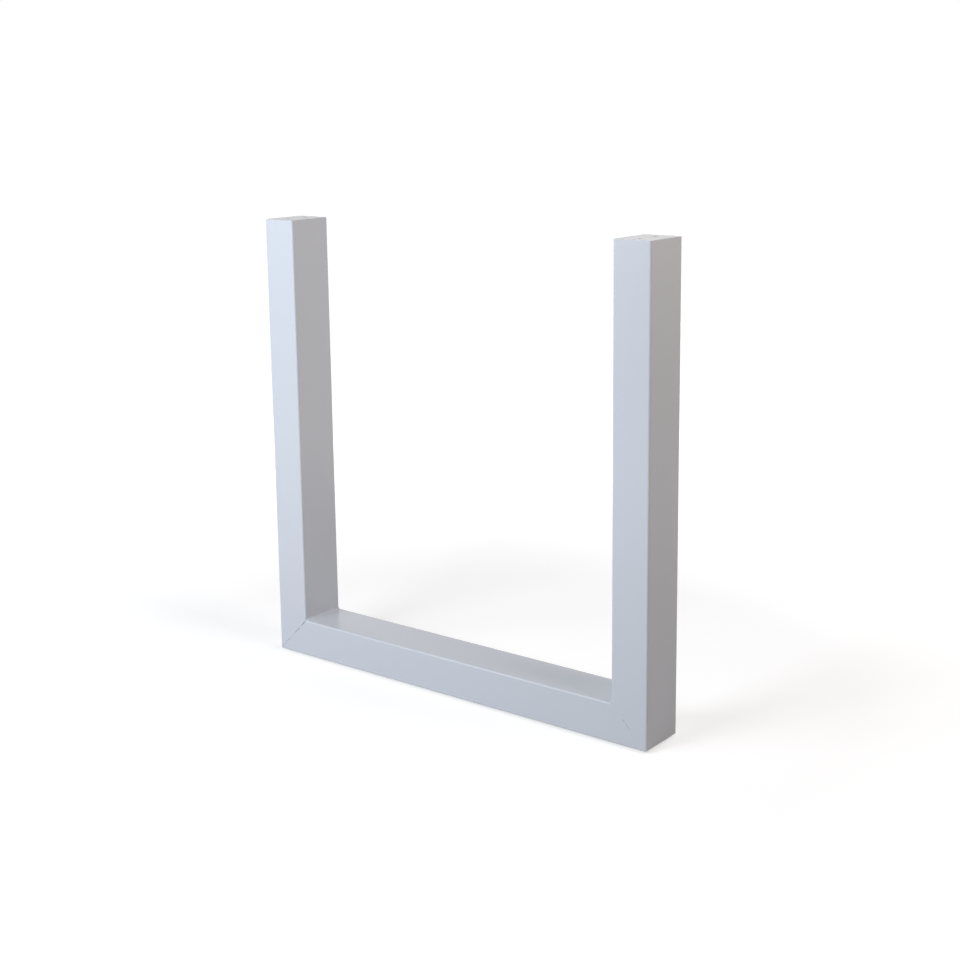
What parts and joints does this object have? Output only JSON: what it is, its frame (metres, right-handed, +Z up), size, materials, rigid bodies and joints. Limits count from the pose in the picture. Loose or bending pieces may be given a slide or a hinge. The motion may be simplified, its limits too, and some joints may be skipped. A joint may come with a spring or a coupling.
{
  "type": "u shaped table leg",
  "caption": "U shaped welded leg of rectangular steel tube with mitred lower corners, tapped caps in its upright ends and floor glides, for carrying one end of a table top.",
  "frame": {"origin": "on the floor, under the middle of the rail", "axes": "+X across the U from the left upright to the right one, +Y through its depth from the front face to the back, +Z up"},
  "size_m": [0.72, 0.08, 0.72],
  "materials": {
    "powder_coat": "satin light grey powder coat",
    "glide_plastic": "moulded dark grey nylon"
  },
  "bodies": {
    "root": {"bottom_rail": "powder_coat", "left_upright": "powder_coat", "right_upright": "powder_coat", "left_mitre_weld": "powder_coat", "right_mitre_weld": "powder_coat", "left_inside_weld": "powder_coat", "right_inside_weld": "powder_coat", "left_top_cap": "powder_coat", "right_top_cap": "powder_coat", "left_front_glide": "glide_plastic", "left_back_glide": "glide_plastic", "right_front_glide": "glide_plastic", "right_back_glide": "glide_plastic"}
  },
  "joints": []
}
